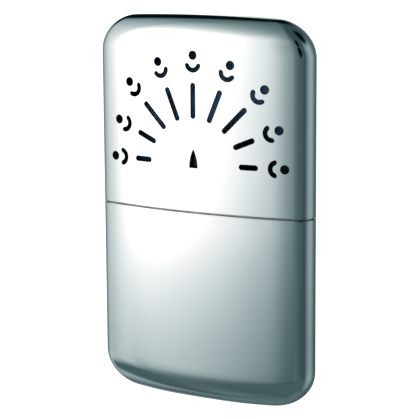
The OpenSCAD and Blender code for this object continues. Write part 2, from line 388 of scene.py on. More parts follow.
@dataclass(frozen=True)
class DrawnShell:
    """One drawn half of the case: a straight oval wall with a rounded, crowned end.

    Attributes:
        name: Name of the piece and of the node that it stands for.
        section: The oval of its outer skin.
        rim_z: Height of its open rim.
        depth: Distance from the rim to the closed end.
        up: 1 where the closed end is above the rim, -1 where it is below.
        corner_r: Corner radius seen from the front.
        edge_rise: Height over which the faces curve in.
        edge_run: Depth by which each face curves in.
        crown: How far the end falls away at the full half width.
        flat: Half length of the end's level part.
        wall: Sheet thickness.
        wall_rings: Rings up the straight wall.
        corner_rings: Rings up the corner.
        rim_round: Radius of the rim's two edges.
        end_shares: Shares of the depth at which rings lie on the closed end.
    """

    name: str
    section: Oval
    rim_z: float
    depth: float
    up: int
    corner_r: float
    edge_rise: float
    edge_run: float
    crown: float
    flat: float
    wall: float
    wall_rings: int = 14
    corner_rings: int = 26
    rim_round: float = 0.12 * MM
    end_shares: tuple[float, ...] = (0.7, 0.35)

    def place(self, number: int, height: float, inset: float, squeeze: float = 1.0) -> Vector:
        """Returns a point of a skin.

        Args:
            number: The point's number round the section.
            height: Its distance from the rim, towards the closed end.
            inset: Distance of the skin from the outer one.
            squeeze: Share of the depth that is kept, below 1 on the end's flat.

        Returns:
            The point.
        """
        oval = self.section.inset(inset)
        radius = self.corner_r - inset
        above = height - (self.depth - inset - radius)
        in_x = turned_in(above, radius, radius)
        in_y = turned_in(above - radius + self.edge_rise - inset,
                         self.edge_rise - inset, self.edge_run - inset)
        x, y = oval.point(number)
        x *= 1 - in_x / oval.half_w
        y *= (1 - in_y / oval.half_t) * squeeze
        out = max(0.0, abs(x) - self.flat) / (self.section.half_w - self.flat)
        drop = self.crown * out * out * max(0.0, above) / radius
        return Vector((x, y, self.rim_z + self.up * (height - drop)))

    def heights(self, inset: float) -> list[float]:
        """Spaces a skin's rings, close at the rim and round the corner.

        Args:
            inset: Distance of the skin from the outer one.

        Returns:
            The rings' distances from the rim.
        """
        radius = self.corner_r - inset
        wall_top = self.depth - inset - radius
        straight = [wall_top * i / self.wall_rings for i in range(self.wall_rings)]
        straight[1:1] = [2 * self.rim_round, 4 * self.rim_round]
        turn = math.pi / 2 / self.corner_rings
        return straight + [wall_top + radius * math.sin(turn * i)
                           for i in range(self.corner_rings + 1)]

    def skin_rings(self, inset: float) -> list[Ring]:
        """Gives a skin's rings, from its rim to the middle of its end.

        Args:
            inset: Distance of the skin from the outer one.

        Returns:
            The rings.
        """
        heights = self.heights(inset)
        rings = [lambda n, h=h: self.place(n, h, inset) for h in heights]
        return rings + [lambda n, s=s: self.place(n, heights[-1], inset, s) for s in self.end_shares]

    def build(self) -> bpy.types.Object:
        """Lofts the shell down its outer skin, round the rim and up its inner skin.

        Returns:
            The shell.
        """
        bm = bmesh.new()
        outer = self.skin_rings(0.0)
        made = loft(bm, self.section.steps, outer[::-1] + self.skin_rings(self.wall))
        close_ends(bm, made)
        inside = {v for ring in made[len(outer):] for v in ring}
        for face in bm.faces:
            skin = Skin.INNER if inside.issuperset(face.verts) else Skin.OUTER
            face.material_index = skin.value
        rims = ring_edges(made[len(outer) - 1]) + ring_edges(made[len(outer)])
        round_edges(bm, rims, self.rim_round)
        return to_object(bm, self.name)


@dataclass
class Vents:
    """The fan of openings in the cover's front.

    Every opening is an outline in the plane of the front. It is cut by a tool that widens a
    little at the skin, so that its edge is rolled as a punched hole's is.

    Attributes:
        shell: The shell that is cut.
        centre_z: Height of the fan's centre.
        spokes: Number of spokes from level to level.
        edge_r: Width of the rolled edge.
        slot_w: Width of a slot.
        slot_start: Distance of the level slots' inner ends from the centre.
        slot_draw: How much nearer the upright slot starts.
        slot_back: Distance from a slot's outer end to its dot.
        dot_rs: Distances of the dots from the centre, from the level spoke up.
        dot_d: Diameter of a dot.
        crescent_back: Distance from a crescent's own centre to its dot.
        crescent_r: Radius of a crescent's middle line.
        crescent_w: Width of a crescent.
        crescent_sweep: Angle that a crescent's middle line turns through.
        arch_h: Height of the pointed opening.
        arch_w: Width of its foot.
        arch_side_r: Radius of its sides.
        arch_drop: Depth of its foot below the centre.
        around: Number of points round an opening.
        roll: Down the rolled edge, how far the opening has widened and how deep that is, both
            as shares of the edge's width.
        reach: How far the tools stand out of the cover.
        end_y: Y at which they end inside it.
    """

    shell: DrawnShell
    centre_z: float
    spokes: int = 9
    edge_r: float = 0.07 * MM
    slot_w: float = 1.5 * MM
    slot_start: float = 14.2 * MM
    slot_draw: float = 1.5 * MM
    slot_back: float = 7.7 * MM
    dot_rs: tuple[float, ...] = (27.5 * MM, 28.0 * MM, 30.8 * MM, 30.4 * MM, 30.4 * MM)
    dot_d: float = 2.5 * MM
    crescent_back: float = 2.25 * MM
    crescent_r: float = 1.9 * MM
    crescent_w: float = 1.3 * MM
    crescent_sweep: float = math.radians(140)
    arch_h: float = 5.3 * MM
    arch_w: float = 2.6 * MM
    arch_side_r: float = 11.4 * MM
    arch_drop: float = 1.2 * MM
    around: int = 64
    roll: tuple[tuple[float, float], ...] = ((1.1, -0.1), (0.5, 0.22), (0.12, 0.62), (0.0, 1.1))
    reach: float = 2 * MM
    end_y: float = -1.0 * MM

    def dot_r(self, angle: float) -> float:
        """Returns how far a spoke's dot lies from the fan's centre."""
        slope = min(angle, math.pi - angle)
        return self.dot_rs[round(slope * (self.spokes - 1) / math.pi)]

    def slot_outline(self, angle: float, number: int, grow: float) -> tuple[float, float]:
        """Gives a point of a slot's outline.

        Args:
            angle: Slope of its spoke.
            number: The point's number round it.
            grow: How much the opening is widened.

        Returns:
            The point's distances along and across the spoke.
        """
        start = self.slot_start - self.slot_draw * math.sin(angle)
        end = self.dot_r(angle) - self.slot_back
        along, across = self.bar(end - start - self.slot_w, self.slot_w / 2 + grow, number)
        return along + (start + end) / 2, across

    def dot_outline(self, angle: float, number: int, grow: float) -> tuple[float, float]:
        """Gives a point of a dot's outline.

        Args:
            angle: Slope of its spoke.
            number: The point's number round it.
            grow: How much the opening is widened.

        Returns:
            The point's distances along and across the spoke.
        """
        turn = 2 * math.pi * number / self.around
        radius = self.dot_d / 2 + grow
        return self.dot_r(angle) + radius * math.cos(turn), radius * math.sin(turn)

    def crescent_outline(self, angle: float, number: int, grow: float) -> tuple[float, float]:
        """Gives a point of a crescent's outline: a round-ended bar, bent inward.

        Args:
            angle: Slope of its spoke.
            number: The point's number round it.
            grow: How much the opening is widened.

        Returns:
            The point's distances along and across the spoke.
        """
        length = self.crescent_r * self.crescent_sweep
        along, across = self.bar(length, self.crescent_w / 2 + grow, number)
        turn = math.pi + along / self.crescent_r
        radius = self.crescent_r + across
        middle = self.dot_r(angle) - self.crescent_back
        return middle + radius * math.cos(turn), radius * math.sin(turn)

    def arch_outline(self, angle: float, number: int, grow: float) -> tuple[float, float]:
        """Gives a point of the pointed opening's outline: foot, right side, left side.

        Args:
            angle: Slope of its spoke.
            number: The point's number round it.
            grow: How much the opening is widened.

        Returns:
            The point's distances along and across the spoke.
        """
        share = 4 * number / self.around
        if share < 1:
            return -self.arch_drop - grow, (self.arch_w + 2 * grow) * (share - 0.5)
        chord = math.hypot(self.arch_w / 2, self.arch_h)
        back = math.sqrt(self.arch_side_r**2 - chord * chord / 4)
        centre_up = (self.arch_h - back * self.arch_w / chord) / 2
        centre_out = self.arch_w / 4 - back * self.arch_h / chord
        low = math.atan2(self.arch_w / 2 - centre_out, -centre_up)
        high = math.atan2(-centre_out, self.arch_h - centre_up)
        climb = (share - 1) / 1.5
        side = 1 if climb <= 1 else -1
        climb = climb if climb <= 1 else 2 - climb
        turn = low + (high - low) * climb
        radius = self.arch_side_r + grow
        up = centre_up + radius * math.cos(turn) - self.arch_drop
        return up, side * (centre_out + radius * math.sin(turn))

    def bar(self, length: float, radius: float, number: int) -> tuple[float, float]:
        """Gives a point of a round-ended bar about the origin.

        Args:
            length: Length of the bar's straight part.
            radius: Radius of its ends.
            number: The point's number round it.

        Returns:
            The point's distances along and across the bar.
        """
        half = self.around // 2
        straight = half // 2
        side = 1 if number < half else -1
        step = number % half
        if step <= straight:
            return side * (length * (0.5 - step / straight)), side * radius
        turn = math.pi * (step - straight) / (half - straight)
        return side * (-length / 2 - radius * math.sin(turn)), side * radius * math.cos(turn)

    def cutter(self, bm: BMesh, angle: float,
               outline: Callable[[float, int, float], tuple[float, float]]) -> None:
        """Adds the cutting tool of one opening.

        Args:
            bm: The mesh that gets the tool.
            angle: Slope of its spoke.
            outline: Gives the outline's points along and across the spoke.
        """
        outside = self.shell.section.half_t + self.reach

        def ring(grow: float, below: float | None, level: float = 0.0) -> Ring:
            """Returns a ring below the skin, or at a level Y where no depth is given."""
            def place(number: int) -> Vector:
                """Returns a vertex's place."""
                along, across = outline(angle, number, grow)
                x = along * math.cos(angle) - across * math.sin(angle)
                z = self.centre_z + along * math.sin(angle) + across * math.cos(angle)
                if below is None:
                    return Vector((x, level, z))
                return Vector((x, below - self.shell.section.depth_at(x), z))
            return place

        rings = [ring(self.roll[0][0] * self.edge_r, None, -outside)]
        rings += [ring(grow * self.edge_r, below * self.edge_r) for grow, below in self.roll]
        made = loft(bm, self.around, rings + [ring(0.0, None, self.end_y)])
        cap(bm, (made[0], made[-1]))

    def build_cutter(self) -> bpy.types.Object:
        """Makes the tools of all the openings.

        Returns:
            One object with all of them.
        """
        bm = bmesh.new()
        for spoke in range(self.spokes):
            angle = math.pi * spoke / (self.spokes - 1)
            for outline in (self.slot_outline, self.crescent_outline, self.dot_outline):
                self.cutter(bm, angle, outline)
        self.cutter(bm, math.pi / 2, self.arch_outline)
        for face in bm.faces:
            face.material_index = Skin.CUT.value
        return to_object(bm, "vent_tools")

    def cut(self, cover: bpy.types.Object) -> None:
        """Cuts the openings, and keeps the smooth shading of the sheet round them.

        Args:
            cover: The whole shell.
        """
        whole = bmesh.new()
        whole.from_mesh(cover.data)
        whole.normal_update()
        cut_with(cover, self.build_cutter())
        keep_shading(cover.data, whole)
        whole.free()


def keep_shading(mesh: bpy.types.Mesh, whole: BMesh) -> None:
    """Gives a cut sheet the vertex normals that it had before it was cut.

    Args:
        mesh: The cut mesh. Its faces of Skin.CUT keep their own shading.
        whole: The sheet before the cut.
    """
    whole.faces.ensure_lookup_table()
    tree = BVHTree.FromBMesh(whole)
    normals = [Vector((0, 0, 0))] * len(mesh.loops)
    for polygon in mesh.polygons:
        if polygon.material_index == Skin.CUT.value:
            continue
        for corner in polygon.loop_indices:
            place = mesh.vertices[mesh.loops[corner].vertex_index].co
            pull = place.lerp(polygon.center, PULL_IN)
            spot, _, index, _ = tree.find_nearest(pull)
            face = whole.faces[index]
            weights = poly_3d_calc([v.co for v in face.verts], spot)
            normal = Vector((0, 0, 0))
            for vert, weight in zip(face.verts, weights):
                normal += vert.normal * weight
            normals[corner] = normal.normalized()
    mesh.normals_split_custom_set(normals)


# ---------------------------------------------------------------- node tools

# Sockets of a Mix node, for numbers and for colours
FACTOR = 0
FIRST_NUMBER, SECOND_NUMBER, MIXED_NUMBER = 2, 3, 0
FIRST_COLOUR, SECOND_COLOUR, MIXED_COLOUR = 6, 7, 2
WHITE = (1.0, 1.0, 1.0, 1.0)


def linear(code: str) -> tuple[float, float, float, float]:
    """Turns an sRGB hex colour into the linear colour of a socket.

    Args:
        code: The colour as a hash and six hex digits.

    Returns:
        Its linear red, green and blue, and an alpha of 1.
    """
    parts = [int(code[i:i + 2], 16) / 255 for i in (1, 3, 5)]
    red, green, blue = (c / 12.92 if c <= 0.04045 else ((c + 0.055) / 1.055) ** 2.4 for c in parts)
    return red, green, blue, 1.0


def add_node(tree: Tree, kind: str, inputs: dict[int | str, Any] | None = None,
             **settings: Any) -> bpy.types.Node:
    """Adds a node with its settings, its values and its links.

    Args:
        tree: The node tree.
        kind: The node's type.
        inputs: For each input, by name or number, a value or the socket that feeds it.
        settings: Properties of the node itself.

    Returns:
        The new node.
    """
    node = tree.nodes.new(kind)
    for name, value in settings.items():
        setattr(node, name, value)
    for key, value in (inputs or {}).items():
        if isinstance(value, Socket):
            tree.links.new(value, node.inputs[key])
        else:
            node.inputs[key].default_value = value
    return node


def add_ramp(tree: Tree, value: Socket,
             stops: Iterable[tuple[float, float]]) -> Socket:
    """Turns an angle into a level.

    Args:
        tree: The node tree.
        value: The angle, in radians.
        stops: Angles in degrees, in rising order, each with its level from 0 to 1.

    Returns:
        The level's socket.
    """
    places = list(stops)
    first, last = places[0][0], places[-1][0]
    share = add_node(tree, "ShaderNodeMapRange", {
        "Value": value, "From Min": math.radians(first), "From Max": math.radians(last)})
    ramp = add_node(tree, "ShaderNodeValToRGB", {"Fac": share.outputs[0]})
    elements = ramp.color_ramp.elements
    for i, (angle, level) in enumerate(places):
        element = elements[i] if i < 2 else elements.new(1.0)
        element.position = (angle - first) / (last - first)
        element.color = (level, level, level, 1.0)
    return ramp.outputs["Color"]


def seen_directly(tree: Tree) -> Socket:
    """Tells the camera's rays from all others.

    Args:
        tree: The node tree.

    Returns:
        1 for what the camera sees, also through glass, and 0 for every other ray.
    """
    ray = add_node(tree, "ShaderNodeLightPath").outputs
    return add_node(tree, "ShaderNodeMath", {
        0: ray["Is Camera Ray"], 1: ray["Is Transmission Ray"]}, operation="MAXIMUM").outputs[0]


# ---------------------------------------------------------------- finishes


def grain(tree: Tree, size: tuple[float, float, float], detail: float = 3.0,
          shift: float = 0.0,
          span: tuple[float, float, float, float] | None = None) -> Socket:
    """Adds noise on Object coordinates.

    Args:
        tree: The node tree.
        size: Size of its grains along X, Y and Z, in millimetres.
        detail: How many finer layers it gets.
        shift: Moves the pattern, so that two alike don't line up.
        span: The noise's start and end, and the values that these two become.

    Returns:
        The noise's value: about 0.5 on average, or within the span's values.
    """
    where = add_node(tree, "ShaderNodeTexCoord").outputs["Object"]
    scaled = add_node(tree, "ShaderNodeMapping", {
        "Vector": where, "Location": (shift, shift, shift),
        "Scale": tuple(1 / (part * MM) for part in size)})
    cloud = add_node(tree, "ShaderNodeTexNoise", {
        "Vector": scaled.outputs[0], "Scale": 1.0, "Detail": detail}).outputs["Fac"]
    if span is None:
        return cloud
    start, end, low, high = span
    return add_node(tree, "ShaderNodeMapRange", {
        "Value": cloud, "From Min": start, "From Max": end,
        "To Min": low, "To Max": high}).outputs[0]


def height_band(tree: Tree, level: float, half: float) -> Socket:
    """Marks a level band round the object.

    Args:
        tree: The node tree.
        level: Height of the band's middle.
        half: Half the band's height.

    Returns:
        1 in the band's middle, falling to 0 at its edges.
    """
    where = add_node(tree, "ShaderNodeTexCoord").outputs["Object"]
    up = add_node(tree, "ShaderNodeSeparateXYZ", {0: where}).outputs["Z"]
    away = add_node(tree, "ShaderNodeMath", {0: up, 1: level}, operation="SUBTRACT").outputs[0]
    away = add_node(tree, "ShaderNodeMath", {0: away}, operation="ABSOLUTE").outputs[0]
    return add_node(tree, "ShaderNodeMapRange", {
        "Value": away, "From Max": half, "To Min": 1.0, "To Max": 0.0}).outputs[0]


@dataclass(frozen=True)
class Detail:
    """What a finish's patterns feed to its shader.

    Attributes:
        share: How far the colour goes from the first to the second.
        normal: The surface's relief.
        roughness: The roughness, where it varies.
    """

    share: Socket
    normal: Socket
    roughness: Socket | None = None


@dataclass(frozen=True)
class Finish:
    """A finish: what a surface is made of and how it was made.

    Attributes:
        name: The material's name.
        colour: Its main colour, as sRGB hex.
        second: The colour that it varies towards.
        roughness: Roughness of its smooth places.
        metallic: 1 for a metal and 0 for anything else.
        sheen: Weight of the fuzz's sheen.
        sheen_rough: Roughness of that sheen.
    """

    name: str
    colour: str
    second: str
    roughness: float
    metallic: float = 1.0
    sheen: float = 0.0
    sheen_rough: float = 0.5

    def material(self) -> bpy.types.Material:
        """Makes the finish's material, or finds it where it was made before.

        Returns:
            The material.
        """
        found = bpy.data.materials.get(self.name)
        if found:
            return found
        material = bpy.data.materials.new(self.name)
        material.use_nodes = True
        tree = material.node_tree
        tree.nodes.clear()
        detail = self.detail(tree)
        shade = add_node(tree, "ShaderNodeMix", {
            FACTOR: detail.share, FIRST_COLOUR: linear(self.colour),
            SECOND_COLOUR: linear(self.second)}, data_type="RGBA").outputs[MIXED_COLOUR]
        rough = self.roughness if detail.roughness is None else detail.roughness
        shader = add_node(tree, "ShaderNodeBsdfPrincipled", {
            "Base Color": shade, "Metallic": self.metallic, "Roughness": rough,
            "Normal": detail.normal, "Sheen Weight": self.sheen,
            "Sheen Roughness": self.sheen_rough})
        add_node(tree, "ShaderNodeOutputMaterial", {"Surface": shader.outputs[0]})
        return material

    def detail(self, tree: Tree) -> Detail:
        """Adds what the eye sees of the making and the use; each kind of finish has its own."""
        raise NotImplementedError(self.name)


@dataclass(frozen=True)
class PolishedChrome(Finish):
    """Chrome plate on a drawn and buffed shell: a mirror, a little wavy and a little handled, with
    painted shade along the seam.

    Attributes:
        seam: Height of the seam, where the plate is rubbed dull and a band of painted shade darkens
            it.
        shade_and_rub_half: How far the painted shade and the rubbing reach from the seam.
        rub_rough: Roughness that the rubbing adds.
        hand_rough: Roughness that finger marks add.
        wave_depth: Depth of the waves that drawing leaves.
        buff_depth: Depth of the buffing lines.
    """

    seam: float = 0.0
    shade_and_rub_half: float = 0.7 * MM
    rub_rough: float = 0.22
    hand_rough: float = 0.035
    wave_depth: float = 0.014 * MM
    buff_depth: float = 0.0004 * MM

    def detail(self, tree: Tree) -> Detail:
        """Adds the drawing's waves, buffing lines, finger marks, and the seam's rubbing and painted
        shade.

        Args:
            tree: The material's node tree.

        Returns:
            The patterns for the shader.
        """
        marks = grain(tree, (9, 9, 13),
                      span=(0.42, 0.68, self.roughness, self.roughness + self.hand_rough))
        # Painted shade: in a band along the seam, where the two shells meet, the colour darkens
        # towards the second colour; the same band adds the rubbing's roughness
        seam_shade_and_rub = add_node(tree, "ShaderNodeMath", {
            0: height_band(tree, self.seam, self.shade_and_rub_half),
            1: grain(tree, (2.5, 2.5, 0.6), shift=7.0)}, operation="MULTIPLY").outputs[0]
        dull = add_node(tree, "ShaderNodeMapRange", {
            "Value": seam_shade_and_rub, "From Max": 0.6, "To Max": self.rub_rough}).outputs[0]
        rough = add_node(tree, "ShaderNodeMath", {0: marks, 1: dull}, operation="ADD").outputs[0]
        waves = add_node(tree, "ShaderNodeBump", {
            "Height": grain(tree, (16, 16, 20), 1.0), "Distance": self.wave_depth}).outputs[0]
        # Buffing lines are a few hundredths of a millimetre wide; half a millimetre shows
        lines = add_node(tree, "ShaderNodeBump", {
            "Height": grain(tree, (0.5, 0.5, 14), 2.0, 3.0), "Distance": self.buff_depth,
            "Normal": waves}).outputs[0]
        return Detail(seam_shade_and_rub, lines, rough)


@dataclass(frozen=True)
class HeatTintedSteel(Finish):
    """Bare metal beside the burner: straw, bronze and blue oxide in soft clouds.

    Attributes:
        oxide_rough: Roughness that the oxide adds.
        line_depth: Depth of the drawing marks.
    """

    oxide_rough: float = 0.14
    line_depth: float = 0.003 * MM

    def detail(self, tree: Tree) -> Detail:
        """Adds the oxide's clouds and the drawing marks.

        Args:
            tree: The material's node tree.

        Returns:
            The patterns for the shader.
        """
        clouds = grain(tree, (7, 7, 10), span=(0.36, 0.66, 0.0, 1.0))
        rough = grain(tree, (3, 3, 9), shift=5.0,
                      span=(0.3, 0.7, self.roughness, self.roughness + self.oxide_rough))
        lines = add_node(tree, "ShaderNodeBump", {
            "Height": grain(tree, (0.6, 0.6, 11), 2.0), "Distance": self.line_depth})
        return Detail(clouds, lines.outputs[0], rough)


@dataclass(frozen=True)
class DrawnMetal(Finish):
    """Drawn or pressed sheet with die marks along its height and a little tarnish.

    Attributes:
        mark_size: Size of the die marks along X, Y and Z, in millimetres. Real ones are about
            0.1 mm wide, and these are drawn coarse enough to show.
        mark_rough: Roughness that they add.
        mark_depth: Their depth.
    """

    mark_size: tuple[float, float, float] = (0.35, 0.35, 9)
    mark_rough: float = 0.12
    mark_depth: float = 0.002 * MM

    def detail(self, tree: Tree) -> Detail:
        """Adds the die marks and the tarnish.

        Args:
            tree: The material's node tree.

        Returns:
            The patterns for the shader.
        """
        stain = grain(tree, (5, 5, 4), 4.0, span=(0.4, 0.72, 0.0, 1.0))
        rough = grain(tree, self.mark_size, 2.0, 2.0,
                      (0.3, 0.7, self.roughness, self.roughness + self.mark_rough))
        marks = add_node(tree, "ShaderNodeBump", {
            "Height": grain(tree, self.mark_size, 2.0, 2.0), "Distance": self.mark_depth})
        return Detail(stain, marks.outputs[0], rough)


@dataclass(frozen=True)
class Fibre(Finish):
    """Loose fibre: felt, cotton wool or coated glass wool.

    Attributes:
        strand: Size of its strands along X, Y and Z, in millimetres. A real fibre is about
            0.02 mm thick, and these are drawn coarse enough to show.
        strand_depth: How far the strands stand out.
    """

    metallic: float = 0.0
    sheen: float = 0.35
    sheen_rough: float = 0.6
    strand: tuple[float, float, float] = (0.4, 0.4, 3.0)
    strand_depth: float = 0.25 * MM

    def detail(self, tree: Tree) -> Detail:
        """Adds the strands and their shade.

        Args:
            tree: The material's node tree.

        Returns:
            The patterns for the shader.
        """
        strands = grain(tree, self.strand, 6.0)
        both = add_node(tree, "ShaderNodeMath", {
            0: strands, 1: grain(tree, (3, 3, 3), 2.0, 4.0)}, operation="ADD").outputs[0]
        shade = add_node(tree, "ShaderNodeMapRange", {
            "Value": both, "From Min": 0.75, "From Max": 1.25, "To Min": 1.0, "To Max": 0.0})
        raised = add_node(tree, "ShaderNodeBump", {
            "Height": strands, "Distance": self.strand_depth})
        return Detail(shade.outputs[0], raised.outputs[0])


# ---------------------------------------------------------------- studio


# Levels of the room round the object, as angles to the right of the front. The window stands
# from -55 to -5 degrees, and the rest is dim walls.
ROOM_ROUND = (
    (-180, 0.07), (-160, 0.08), (-146, 0.12), (-134, 0.20), (-122, 0.15), (-108, 0.12),
    (-96, 0.18), (-88, 0.27), (-62, 0.35), (-56.5, 0.43), (-53.5, 0.65), (-49, 0.93),
    (-44, 1.0), (-38, 0.97), (-32, 0.90), (-26, 0.80), (-21, 0.71), (-13, 0.53), (-10, 0.46),
    (-8, 0.37), (-6, 0.25), (-4, 0.165), (0, 0.105), (20, 0.075), (66, 0.045), (75, 0.085),
    (84, 0.145), (100, 0.21), (116, 0.22), (136, 0.135), (150, 0.07),
)
# Share of that level which is left above and below, in the window's sector
WINDOW_UP = (
    (-90, 0.08), (-62, 0.08), (-55, 0.10), (-48, 0.08), (-38, 0.075), (-33, 0.085), (-29, 0.11),
    (-26, 0.15), (-23, 0.205), (-20, 0.255), (-16.3, 0.29), (-15.2, 0.345), (-14, 0.43),
    (-12.6, 0.56), (-11.2, 0.74), (-9.5, 0.83), (-6, 0.97), (0, 1.0), (18, 0.98),
    (24, 0.85), (29, 0.62), (34, 0.46), (40, 0.33), (46, 0.25), (54, 0.17), (64, 0.11),
    (74, 0.06), (90, 0.05),
)
# The same share in the walls' sector
WALL_UP = (
    (-90, 0.35), (-60, 0.40), (-50, 0.58), (-41, 0.75), (-26, 0.90), (-19, 0.95), (-15, 0.78),
    (-12.5, 0.94), (-3, 1.0), (26, 1.0), (40, 0.70), (56, 0.35), (72, 0.25), (90, 0.25),
)
# Level that no part of the room falls below: the floor is a little lighter than the ceiling
LEAST_UP = ((-90, 0.09), (-66, 0.085), (-56, 0.06), (-28, 0.065), (-20, 0.045), (90, 0.04))
# Where round the object the window stands, at its height and on the floor before it
WINDOW_ROUND = ((-180, 0), (-62, 0), (-49, 1), (-6, 1), (4, 0), (180, 0))
FLOOR_ROUND = ((-180, 0), (-76, 0), (-66, 1), (16, 1), (36, 0), (180, 0))
# How far a direction belongs to that floor
FLOOR_UP = ((-90, 1), (-30, 1), (-18, 0), (90, 0))


def heading(turn: float, climb: float) -> Vector:
    """Gives the direction at two angles.

    Args:
        turn: Angle to the right of the front, in radians.
        climb: Angle above the level, in radians.

    Returns:
        The unit vector that points there from the object.
    """
    level = math.cos(climb)
    return Vector((math.sin(turn) * level, -math.cos(turn) * level, math.sin(climb)))


@dataclass(frozen=True)
class Board:
    """A board with a soft edge in the room that the metal mirrors, dark or pale.

    Attributes:
        turn: Its angle to the right of the front, in degrees.
        climb: Its angle above the level, in degrees.
        inner: Angle from its middle to the start of its edge, in degrees.
        outer: Angle from its middle to the end of its edge, in degrees.
        level: What the room's level is multiplied by on it.
    """

    turn: float
    climb: float
    inner: float
    outer: float
    level: float = 0.03

    def add(self, tree: Tree, where: Socket,
            level: Socket) -> Socket:
        """Adds the board to the room.

        Args:
            tree: The room's node tree.
            where: The direction that is looked at.
            level: The room's level there.

        Returns:
            The level with the board in place.
        """
        way = heading(math.radians(self.turn), math.radians(self.climb))
        near = add_node(tree, "ShaderNodeVectorMath", {0: where, 1: way}, operation="DOT_PRODUCT")
        keep = add_node(tree, "ShaderNodeMapRange", {
            "Value": near.outputs["Value"], "From Min": math.cos(math.radians(self.outer)),
            "From Max": math.cos(math.radians(self.inner)), "To Min": 1.0, "To Max": self.level,
        }, interpolation_type="SMOOTHSTEP").outputs[0]
        return add_node(tree, "ShaderNodeMath", {0: level, 1: keep},
                        operation="MULTIPLY").outputs[0]


@dataclass(frozen=True)
class Lamp:
    """A soft square lamp, which lights what isn't polished.

    Attributes:
        name: Its name.
        turn: Its angle to the right of the front, in degrees.
        climb: Its angle above the level, in degrees.
        away: Its distance in metres.
        size: The side of its square.
        power: Its power in watts.
    """

    name: str
    turn: float
    climb: float
    away: float
    size: float
    power: float

    def hang(self, middle: Vector) -> None:
        """Hangs the lamp so that it faces the object.

        Args:
            middle: The point that it faces.
        """
        data = bpy.data.lights.new(self.name, "AREA")
        data.size = self.size
        data.energy = self.power
        lamp = bpy.data.objects.new(self.name, data)
        bpy.context.scene.collection.objects.link(lamp)
        way = heading(math.radians(self.turn), math.radians(self.climb))
        lamp.location = way * self.away + middle
        lamp.rotation_mode = "QUATERNION"
        lamp.rotation_quaternion = way.to_track_quat("Z", "Y")
        lamp.visible_glossy = False
        lamp.visible_camera = False


